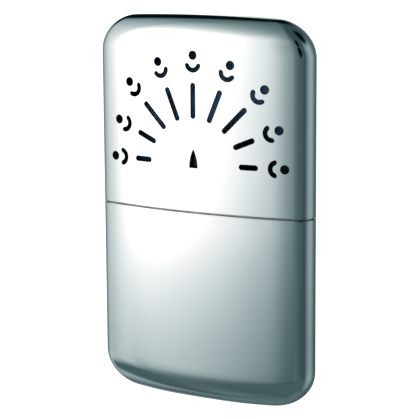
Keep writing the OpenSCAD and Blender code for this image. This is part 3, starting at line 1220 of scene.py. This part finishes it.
@dataclass(frozen=True)
class Studio:
    """Camera, floor and soft light.

    Attributes:
        azimuth: Angle of the camera to the right of the front.
        elevation: Angle of the camera above the level.
        roll: Turn of the picture.
        distance: Distance from the camera to its aim.
        aim: What the camera looks at.
        focal_px: Focal length in pixels of a picture of picture_px.
        picture_px: Width of the picture.
        sensor: Width of the camera's sensor, in millimetres.
        near: Distance from which the camera sees.
        window_level: Strength of the room's brightest place.
        red_power: Red follows this power of the level, so dim places lean to blue-green.
        red_share: Red's share in the brightest place.
        blue_power: Blue's power of the level.
        floor_r: Radius of the floor.
        paper: The floor's colour.
        boards: The boards in the room. The last is pale and stands behind the object.
        lamps: The lamps.
    """

    azimuth: float = math.radians(30.09)
    elevation: float = math.radians(10.67)
    roll: float = math.radians(-0.36)
    distance: float = 516.55 * MM
    aim: Vector = field(default_factory=lambda: Vector((0.62 * MM, 0, 54.82 * MM)))
    focal_px: float = 1813.9
    picture_px: float = 419.0
    sensor: float = 36.0
    near: float = 10 * MM
    window_level: float = 2.4
    red_power: float = 1.25
    red_share: float = 0.97
    blue_power: float = 0.97
    floor_r: float = 3.0
    paper: str = "#E8E9E9"
    boards: tuple[Board, ...] = (Board(-133, 41, 22, 36), Board(112, 55, 10, 24),
                                 Board(38, 12, 7, 17), Board(35, 34, 5, 13),
                                 Board(-150, -8, 7, 18, 8.0))
    lamps: tuple[Lamp, ...] = (Lamp("key", -38, 24, 0.75, 0.6, 1.6),
                               Lamp("fill", 150, 30, 0.9, 0.8, 2.0))

    def camera(self) -> None:
        """Makes the camera at the photograph's viewing angle."""
        data = bpy.data.cameras.new("camera")
        data.sensor_width = self.sensor
        data.lens = self.focal_px * self.sensor / self.picture_px
        data.clip_start = self.near
        eye = bpy.data.objects.new("camera", data)
        bpy.context.scene.collection.objects.link(eye)
        back = heading(self.azimuth, self.elevation)
        right = Vector((math.cos(self.azimuth), math.sin(self.azimuth), 0))
        up = back.cross(right)
        across = right * math.cos(self.roll) + up * math.sin(self.roll)
        upward = up * math.cos(self.roll) - right * math.sin(self.roll)
        eye.location = self.aim + back * self.distance
        eye.rotation_mode = "QUATERNION"
        turn = Matrix((across, upward, back)).transposed()
        eye.rotation_quaternion = turn.to_quaternion()
        bpy.context.scene.camera = eye

    def light(self) -> None:
        """Sets the surroundings, the lamps and the floor."""
        self.surround()
        for lamp in self.lamps:
            lamp.hang(Vector((0, 0, self.aim.z)))
        self.floor()
        bpy.context.scene.view_settings.view_transform = "Standard"

    def surround(self) -> None:
        """Makes the room: white to the camera, and a soft window in dim walls to the metal."""
        world = bpy.data.worlds.new("surroundings")
        bpy.context.scene.world = world
        world.use_nodes = True
        tree = world.node_tree
        tree.nodes.clear()
        room = add_node(tree, "ShaderNodeBackground", {"Color": self.room_colour(tree)})
        white = add_node(tree, "ShaderNodeBackground", {"Color": WHITE})
        both = add_node(tree, "ShaderNodeMixShader", {
            0: seen_directly(tree), 1: room.outputs[0], 2: white.outputs[0]})
        add_node(tree, "ShaderNodeOutputWorld", {"Surface": both.outputs[0]})

    def room_colour(self, tree: Tree) -> Socket:
        """Works out the room's colour in each direction.

        Args:
            tree: The world's node tree.

        Returns:
            The colour's socket.
        """
        where = add_node(tree, "ShaderNodeTexCoord").outputs["Generated"]
        parts = add_node(tree, "ShaderNodeSeparateXYZ", {0: where}).outputs
        forward = add_node(tree, "ShaderNodeMath", {0: parts["Y"], 1: -1.0},
                           operation="MULTIPLY").outputs[0]
        turn = add_node(tree, "ShaderNodeMath", {0: parts["X"], 1: forward},
                        operation="ARCTAN2").outputs[0]
        climb = add_node(tree, "ShaderNodeMath", {0: parts["Z"]}, operation="ARCSINE").outputs[0]
        sector = add_node(tree, "ShaderNodeMix", {
            FACTOR: add_ramp(tree, climb, FLOOR_UP),
            FIRST_NUMBER: add_ramp(tree, turn, WINDOW_ROUND),
            SECOND_NUMBER: add_ramp(tree, turn, FLOOR_ROUND)}).outputs[MIXED_NUMBER]
        share = add_node(tree, "ShaderNodeMix", {
            FACTOR: sector, FIRST_NUMBER: add_ramp(tree, climb, WALL_UP),
            SECOND_NUMBER: add_ramp(tree, climb, WINDOW_UP)}).outputs[MIXED_NUMBER]
        level = add_ramp(tree, turn, ROOM_ROUND)
        least = add_ramp(tree, climb, LEAST_UP)
        for operation, other in (("MULTIPLY", share), ("MAXIMUM", least)):
            level = add_node(tree, "ShaderNodeMath", {0: level, 1: other},
                             operation=operation).outputs[0]
        for board in self.boards:
            level = board.add(tree, where, level)
        level = add_node(tree, "ShaderNodeMath", {0: level, 1: self.window_level},
                         operation="MULTIPLY").outputs[0]
        red = add_node(tree, "ShaderNodeMath", {0: level, 1: self.red_power},
                       operation="POWER").outputs[0]
        red = add_node(tree, "ShaderNodeMath", {0: red, 1: self.red_share},
                       operation="MULTIPLY").outputs[0]
        blue = add_node(tree, "ShaderNodeMath", {0: level, 1: self.blue_power},
                        operation="POWER").outputs[0]
        return add_node(tree, "ShaderNodeCombineColor", {0: red, 1: level, 2: blue}).outputs[0]

    def floor(self) -> None:
        """Lays the plain pale floor, which keeps the object's shadow."""
        bm = bmesh.new()
        bmesh.ops.create_circle(bm, segments=96, radius=self.floor_r, cap_ends=True)
        floor = to_object(bm, "floor")
        material = bpy.data.materials.new("paper_floor")
        material.use_nodes = True
        tree = material.node_tree
        tree.nodes.clear()
        paper = add_node(tree, "ShaderNodeBsdfDiffuse", {"Color": linear(self.paper)})
        glow = add_node(tree, "ShaderNodeEmission", {
            "Color": WHITE, "Strength": seen_directly(tree)})
        sheet = add_node(tree, "ShaderNodeAddShader", {0: paper.outputs[0], 1: glow.outputs[0]})
        clear = add_node(tree, "ShaderNodeBsdfTransparent")
        glossy = add_node(tree, "ShaderNodeLightPath").outputs["Is Glossy Ray"]
        both = add_node(tree, "ShaderNodeMixShader", {
            0: glossy, 1: sheet.outputs[0], 2: clear.outputs[0]})
        add_node(tree, "ShaderNodeOutputMaterial", {"Surface": both.outputs[0]})
        floor.data.materials.append(material)


# ---------------------------------------------------------------- sub-assemblies


@dataclass
class Case:
    """The two drawn shells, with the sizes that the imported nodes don't show.

    Attributes:
        side_r: Radius of the section's side arcs.
        wall: Sheet thickness.
        edge_rise: Height over which the faces curve in at an end.
        edge_run: Depth by which they curve in.
        cover_corner_r: Corner radius of the cover, seen from the front.
        tank_corner_r: Corner radius of the tank.
        cover_crown: How far the cover's top falls away to its sides.
        tank_crown: How far the tank's base rises to its sides.
        base_flat: Half length of the flat that the tank stands on.
        fan_rise: Height of the vents' centre above the seam.
    """

    side_r: float = 4.75 * MM
    wall: float = 0.5 * MM
    edge_rise: float = 8.9 * MM
    edge_run: float = 5.0 * MM
    cover_corner_r: float = 11.2 * MM
    tank_corner_r: float = 10.8 * MM
    cover_crown: float = 1.4 * MM
    tank_crown: float = 1.3 * MM
    base_flat: float = 8.0 * MM
    fan_rise: float = 14.0 * MM

    def __post_init__(self) -> None:
        """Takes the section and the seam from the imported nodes."""
        self.cover_low, self.cover_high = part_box("upper_cover")
        self.tank_low, self.tank_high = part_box("tank_shell")
        self.section = Oval(self.cover_high.x, self.cover_high.y, self.side_r)
        self.seam_z = (self.cover_low.z + self.tank_high.z) / 2

    def cover(self) -> DrawnShell:
        """Returns the upper half."""
        return DrawnShell("cover", self.section, self.cover_low.z,
                          self.cover_high.z - self.cover_low.z, 1, self.cover_corner_r,
                          self.edge_rise, self.edge_run, self.cover_crown, 0.0, self.wall)

    def tank(self) -> DrawnShell:
        """Returns the lower half."""
        return DrawnShell("tank", self.section, self.tank_high.z,
                          self.tank_high.z - self.tank_low.z, -1, self.tank_corner_r,
                          self.edge_rise, self.edge_run, self.tank_crown, self.base_flat, self.wall)

    def build(self) -> None:
        """Builds both shells, finishes them and puts them on their bodies."""
        # Mirror-bright plate outside, darkened by painted shade along the seam; the lip of each
        # punched vent is dull metal, darkened further by painted shade inside the openings;
        # the burner's heat has blued the cover's inside, and the tank is tinned against rust
        chrome = PolishedChrome("polished_chrome", "#D3D9DA", "#7E8484", 0.045, seam=self.seam_z)
        # Painted shade: the punched edges are coloured dark so that the openings look shaded inside
        rolled = DrawnMetal("punched_edge_and_shade", "#6E7678", "#4C5356", 0.3)
        inside = HeatTintedSteel("heat_blued_inside", "#4C84B6", "#5B7F9F", 0.38)
        tinned = DrawnMetal("tinned_inside", "#A9ABA8", "#8B8A84", 0.34)
        for shell, node, body, lining in ((self.cover(), "upper_cover", "cover", inside),
                                          (self.tank(), "tank_shell", "tank", tinned)):
            obj = shell.build()
            for finish in (chrome, lining, rolled):
                obj.data.materials.append(finish.material())
            if node == "upper_cover":
                Vents(shell, self.seam_z + self.fan_rise).cut(obj)
            put(obj, body, "case_chrome", node)


@dataclass
class Tank:
    """What the tank holds: its top with the collar, the fuel mouth, the wick and the wadding.

    Attributes:
        case: The case that all of it fits in.
        fold_r: Outer radius of the fold between the collar and the top.
        sheet: Sheet thickness of the top and of the mouth.
        seat_gap: Clearance between the mouth and the top's hole.
        flange_rim: Width of the mouth's flange.
        flange_t: Its thickness.
        soft_gap: Space kept round the fillings.
        fold_steps: Steps round the fold.
        edge_round: Radius of the cut edges.
        lip: Height over which the mouth's rim is thinned.
        cords: Number of cords round the wick.
        cord_dent: Depth of the grooves between them.
        cord_turn: Length of wick over which a cord moves to its neighbour's place.
        wool_voxel: Size of the wadding's even mesh.
    """

    case: Case
    fold_r: float = 1.5 * MM
    sheet: float = 0.4 * MM
    seat_gap: float = 0.05 * MM
    flange_rim: float = 1.5 * MM
    flange_t: float = 0.5 * MM
    soft_gap: float = 0.3 * MM
    fold_steps: int = 6
    edge_round: float = 0.1 * MM
    lip: float = 0.25 * MM
    cords: int = 22
    cord_dent: float = 0.28 * MM
    cord_turn: float = 60 * MM
    wool_voxel: float = 0.9 * MM

    def __post_init__(self) -> None:
        """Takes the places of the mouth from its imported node."""
        self.mouth_low, self.mouth_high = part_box("fuel_mouth")
        rim = 2 * self.flange_rim
        self.mouth = Stadium(2 * self.mouth_high.x - rim, 2 * self.mouth_high.y - rim)

    def top(self) -> bpy.types.Object:
        """Makes the drawn pan: collar, fold and the top with the mouth's hole.

        Returns:
            The new object.
        """
        low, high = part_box("tank_top")
        outer = self.case.section.inset(self.case.section.half_w - high.x)
        hole = Stadium(self.mouth.width + 2 * self.seat_gap, self.mouth.depth + 2 * self.seat_gap,
                       outer.steps)

        def wall(gap: float, radius: float, bottom: float) -> list[Ring]:
            """Returns the rings of one skin, from the collar's rim round the fold."""
            skin = outer.inset(gap)
            turns = [math.pi / 2 * i / self.fold_steps for i in range(self.fold_steps + 1)]
            fold = [outer.inset(gap + radius * (1 - math.cos(t))).ring(
                bottom + radius * (1 - math.sin(t))) for t in turns]
            return [skin.ring(high.z), skin.ring(high.z - 0.6 * MM)] + fold

        outside = wall(0.0, self.fold_r, low.z)
        inside = wall(self.sheet, self.fold_r - self.sheet, low.z + self.sheet)
        bm = bmesh.new()
        made = close_loop(bm, outer.steps, outside + [hole.ring(low.z),
                                                      hole.ring(low.z + self.sheet)]
                          + inside[::-1])
        count = len(outside)
        sharp = [e for i in (0, count, count + 1, len(made) - 1) for e in ring_edges(made[i])]
        round_edges(bm, sharp, self.edge_round)
        return to_object(bm, "tank_collar")

    def ferrule(self) -> bpy.types.Object:
        """Makes the fuel mouth, a ferrule with its flange under the top.

        Returns:
            The new object.
        """
        low, high = self.mouth_low.z, self.mouth_high.z
        step = low + self.flange_t
        flange, bore = self.mouth.inset(-self.flange_rim), self.mouth.inset(self.sheet)
        lip = self.mouth.inset(self.sheet / 2)
        rings = [self.mouth.ring(high - self.lip), self.mouth.ring(step), flange.ring(step),
                 flange.ring(low), bore.ring(low), bore.ring(high - self.lip), lip.ring(high)]
        bm = bmesh.new()
        made = close_loop(bm, self.mouth.steps, rings)
        sharp = [e for i in (1, 2, 3, 4) for e in ring_edges(made[i])]
        round_edges(bm, sharp, self.edge_round)
        return to_object(bm, "filler_mouth")

    def wick(self) -> bpy.types.Object:
        """Makes the wick, a flat bundle of cotton cords.

        Returns:
            The new object.
        """
        low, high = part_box("wick")
        section = Stadium(2 * high.x, 2 * high.y, 128)
        count = 64
        rings = [section.inset(0.8 * MM).ring(low.z), section.inset(0.25 * MM).ring(low.z + 0.2 * MM)]
        rings += [section.ring(low.z + 0.7 * MM + (high.z - low.z - 1.4 * MM) * i / count)
                  for i in range(count + 1)]
        rings += [section.inset(0.25 * MM).ring(high.z - 0.2 * MM),
                  section.inset(0.8 * MM).ring(high.z)]
        bm = bmesh.new()
        made = loft(bm, section.steps, rings)
        self.groove(made, section)
        close_ends(bm, made)
        roughen(bm, 0.12 * MM, 1.6)
        return to_object(bm, "cotton_wick")

    def groove(self, made: list[list[BMVert]], section: Stadium) -> None:
        """Draws grooves between the wick's cords, which run along it with a slow twist.

        Args:
            made: The wick's rings.
            section: Its section.
        """
        for ring in made:
            for i, vert in enumerate(ring):
                phase = 2 * math.pi * (self.cords * i / section.steps + vert.co.z / self.cord_turn)
                dent = self.cord_dent * (0.5 + 0.5 * math.cos(phase)) ** 2
                out = Vector((vert.co.x * 0.4, vert.co.y, 0))
                vert.co -= out.normalized() * dent

    def wadding(self, side: int) -> bpy.types.Object:
        """Makes one half of the wadding: cotton wool pressed into half of the tank.

        Args:
            side: -1 for the left half and 1 for the right one.

        Returns:
            The wad.
        """
        node = "wadding_left" if side < 0 else "wadding_right"
        low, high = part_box(node)
        inset = self.case.wall + self.soft_gap
        shell = self.case.tank()
        start = shell.rim_z - high.z
        heights = [h for h in shell.heights(inset) if h > start + 0.5 * MM]
        rings = [lambda n, h=h: shell.place(n, h, inset) for h in [start] + heights]
        bm = bmesh.new()
        made = loft(bm, shell.section.steps, rings)
        close_ends(bm, made)
        edge_x = high.x if side < 0 else low.x
        cut = bmesh.ops.bisect_plane(
            bm, geom=bm.verts[:] + bm.edges[:] + bm.faces[:], plane_co=(edge_x, 0, 0),
            plane_no=(-side, 0, 0), clear_outer=True)["geom_cut"]
        bmesh.ops.contextual_create(bm, geom=[g for g in cut if isinstance(g, BMEdge)])
        wad = to_object(bm, "cotton_wad_left" if side < 0 else "cotton_wad_right")
        cut_with(wad, self.wick_slot())
        remesh = wad.modifiers.new("even", "REMESH")
        remesh.mode = "VOXEL"
        remesh.voxel_size = self.wool_voxel
        apply_modifiers(wad)
        bm = bmesh.new()
        bm.from_mesh(wad.data)
        bmesh.ops.smooth_vert(bm, verts=bm.verts, factor=0.5, use_axis_x=True, use_axis_y=True,
                              use_axis_z=True)
        roughen(bm, 0.7 * MM, 5.0)
        for face in bm.faces:
            face.smooth = True
        bm.to_mesh(wad.data)
        bm.free()
        return wad

    def wick_slot(self) -> bpy.types.Object:
        """Makes the tool that makes room for the wick in the wadding.

        Returns:
            The new object.
        """
        low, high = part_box("wick")
        slot = Stadium(2 * high.x, 2 * high.y).inset(-self.soft_gap)
        bm = bmesh.new()
        cap(bm, loft(bm, slot.steps, [slot.ring(low.z - self.soft_gap), slot.ring(high.z)]))
        return to_object(bm, "wick_slot")

    def build(self) -> None:
        """Builds the pieces, finishes them and puts them on the tank."""
        # A warm white collar round a yellow mouth, over off-white cotton
        nickel = DrawnMetal("drawn_nickel", "#CBCBC7", "#B3B1AA", 0.16)
        brass = DrawnMetal("spun_brass", "#C9A866", "#94713B", 0.24)
        felt = Fibre("wick_cotton", "#E4DCC6", "#B9AC8C", 0.9, strand=(0.35, 0.35, 4.0))
        wool = Fibre("cotton_wool", "#F1EEE6", "#CFC9BB", 0.95, strand=(0.6, 0.6, 0.6))
        for piece, finish, slot, node in (
                (self.top(), nickel, "collar_nickel", "tank_top"),
                (self.ferrule(), brass, "mouth_brass", "fuel_mouth"),
                (self.wick(), felt, "wick_felt", "wick"),
                (self.wadding(-1), wool, "cotton_wadding", "wadding_left"),
                (self.wadding(1), wool, "cotton_wadding", "wadding_right")):
            piece.data.materials.append(finish.material())
            isinstance(finish, Fibre)
            put(piece, "tank", slot, node)


@dataclass
class Burner:
    """The burner, which lifts off the fuel mouth: tray, gauze, catalyst mat and cage.

    Attributes:
        tank: The tank whose mouth the skirt plugs over.
        sheet: Sheet thickness.
        plug_gap: Clearance between the mouth and the skirt.
        soft_gap: Height of the tray above the mouth, and space kept round the mat.
        window_w: Width of a window in the cage.
        window_bar: Width of the bar between two windows.
        window_count: Number of windows on each face.
        window_margin: Solid wall above and below a window.
        lip_w: Width of the lip round the cage's top.
        crown_r: Radius of the mat's crowned top.
        fold_pitch: Height of one of the mat's folded layers.
        fold_dent: Depth of the crease between two layers.
    """

    tank: Tank
    sheet: float = 0.4 * MM
    plug_gap: float = 0.15 * MM
    soft_gap: float = 0.3 * MM
    window_w: float = 2.1 * MM
    window_bar: float = 1.0 * MM
    window_count: int = 5
    window_margin: float = 1.6 * MM
    lip_w: float = 1.3 * MM
    crown_r: float = 40.0 * MM
    fold_pitch: float = 2.1 * MM
    fold_dent: float = 0.22 * MM

    def tray(self) -> bpy.types.Object:
        """Makes the stepped tray with the skirt that plugs over the mouth.

        Returns:
            The new object.
        """
        low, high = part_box("burner_base")
        floor = self.tank.mouth_high.z + self.soft_gap
        tray = Stadium(2 * high.x, 2 * high.y)
        skirt = self.tank.mouth.inset(-self.plug_gap - self.sheet)
        socket, pan = skirt.inset(self.sheet), tray.inset(self.sheet)
        hole = self.tank.mouth.inset(self.sheet)
        rings = [skirt.ring(low.z), skirt.ring(floor), tray.ring(floor), tray.ring(high.z),
                 pan.ring(high.z), pan.ring(floor + self.sheet), hole.ring(floor + self.sheet),
                 hole.ring(floor), socket.ring(floor), socket.ring(low.z)]
        bm = bmesh.new()
        made = close_loop(bm, tray.steps, rings)
        round_edges(bm, [e for ring in made for e in ring_edges(ring)], 0.12 * MM)
        return to_object(bm, "burner_tray")

    def cage(self) -> bpy.types.Object:
        """Makes the pressed cage with its windows and its turned-in lip.

        Returns:
            The new object.
        """
        low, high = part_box("burner_cage")
        wall = Stadium(2 * high.x, 2 * high.y, 192)
        inner, lip = wall.inset(self.sheet), wall.inset(self.lip_w)
        under = high.z - self.sheet
        rings = [wall.ring(low.z), wall.ring(high.z), lip.ring(high.z), lip.ring(under),
                 inner.ring(under), inner.ring(low.z)]
        bm = bmesh.new()
        made = close_loop(bm, wall.steps, rings)
        turned = ring_edges(made[1])
        round_edges(bm, turned, 0.35 * MM, 4)
        cage = to_object(bm, "burner_cage_windows")
        cut_with(cage, self.windows(low.z, high))
        edges = cage.modifiers.new("soft_edges", "BEVEL")
        edges.width = 0.07 * MM
        edges.segments = 2
        edges.limit_method = "ANGLE"
        edges.angle_limit = math.radians(40)
        edges.harden_normals = True
        apply_modifiers(cage)
        return cage

    def windows(self, low: float, high: Vector) -> bpy.types.Object:
        """Makes the tools that cut the cage's windows.

        Args:
            low: Height of the cage's foot.
            high: Highest corner of the cage's box.

        Returns:
            One object with all the tools.
        """
        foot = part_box("burner_base")[1].z + self.window_margin
        tall = high.z - self.window_margin - foot
        bar = Stadium(tall, self.window_w, 48)
        pitch = self.window_w + self.window_bar
        bm = bmesh.new()

        def ring(centre: float, out: float, along_x: bool) -> Ring:
            """Returns a window's ring on a broad face, or on an end where it runs along X."""
            def place(number: int) -> Vector:
                """Returns a vertex's place."""
                up, across = bar.point(number)
                height = foot + tall / 2 + up
                return Vector((out, across, height) if along_x else (centre + across, out, height))
            return place

        faces = [((i - (self.window_count - 1) / 2) * pitch, sign * high.y * 0.5,
                  sign * high.y * 1.5, False) for i in range(self.window_count)
                 for sign in (-1, 1)]
        ends = [(0.0, sign * high.x * 0.8, sign * high.x * 1.2, True) for sign in (-1, 1)]
        for centre, start, stop, along_x in faces + ends:
            cap(bm, loft(bm, bar.steps, [ring(centre, start, along_x),
                                         ring(centre, stop, along_x)]))
        return to_object(bm, "window_tools")

    def mat(self) -> bpy.types.Object:
        """Makes the catalyst mat: coated glass wool, folded in layers, with a crowned top.

        Returns:
            The new object.
        """
        low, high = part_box("catalyst_mat")
        section = Stadium(2 * high.x, 2 * high.y, 160)
        rounding = 0.7 * MM
        tall = high.z - low.z
        count = 60

        def ring(height: float, inset: float) -> Ring:
            """Returns the mat's ring at a height above its underside."""
            pad = section.inset(inset)

            def place(number: int) -> Vector:
                """Returns a vertex's place."""
                x, y = pad.point(number)
                drop = self.crown_r - math.sqrt(self.crown_r**2 - x * x)
                crease = 0.5 + 0.5 * math.cos(2 * math.pi * height / self.fold_pitch)
                fold = self.fold_dent * crease ** 3
                keep = 1 - fold / pad.depth * 2
                return Vector((x * keep, y * keep, low.z + height * (1 - drop / tall)))
            return place

        rings = [ring(0.0, rounding), ring(0.3 * rounding, 0.3 * rounding)]
        rings += [ring(rounding + (tall - 2 * rounding) * i / count, 0.0) for i in range(count + 1)]
        rings += [ring(tall - 0.3 * rounding, 0.3 * rounding), ring(tall, rounding)]
        rings += [ring(tall, rounding + section.depth / 2 * share) for share in (0.2, 0.42, 0.62)]
        bm = bmesh.new()
        made = loft(bm, section.steps, rings)
        close_ends(bm, made)
        roughen(bm, 0.25 * MM, 1.3, low.z)
        return to_object(bm, "glass_wool_mat")

    def build(self) -> None:
        """Builds the pieces, finishes them and puts them on the burner."""
        # Bright steel with straw-coloured oxide clouds round grey-white wool
        steel = HeatTintedSteel("heat_tinted_steel", "#DEDCD6", "#BDB09A", 0.12)
        wool = Fibre("platinum_glass_wool", "#D9D6CE", "#9B978C", 0.95,
                     strand=(2.2, 0.35, 0.35))
        tray, cage, mat = self.tray(), self.cage(), self.mat()
        for piece, finish, slot, node in ((tray, steel, "burner_steel", "burner_base"),
                                          (cage, steel, "burner_steel", "burner_cage"),
                                          (mat, wool, "catalyst_fibre", "catalyst_mat")):
            piece.data.materials.append(finish.material())
            put(piece, "burner", slot, node)
        gauze = bpy.data.objects["mat_support"]
        wire = DrawnMetal("gauze_wire", "#8F8D86", "#6A655B", 0.35)
        for place in gauze.material_slots:
            place.material = wire.material()


def put(piece: bpy.types.Object, body: str, slot: str, *nodes: str) -> None:
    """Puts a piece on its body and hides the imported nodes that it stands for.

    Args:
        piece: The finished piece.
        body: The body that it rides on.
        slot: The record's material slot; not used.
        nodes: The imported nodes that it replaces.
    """
    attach(piece, body)
    if nodes:
        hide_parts(*nodes)
    LOG.info("%s: %d faces, on %s", piece.name, len(piece.data.polygons), body)


def main() -> None:
    """Builds every piece, puts it on its body and lights it."""
    logging.basicConfig(level=logging.INFO, format="%(message)s")
    case = Case()
    case.build()
    tank = Tank(case)
    tank.build()
    Burner(tank).build()
    studio = Studio()
    studio.camera()
    studio.light()


if __name__ == "__main__":
    main()
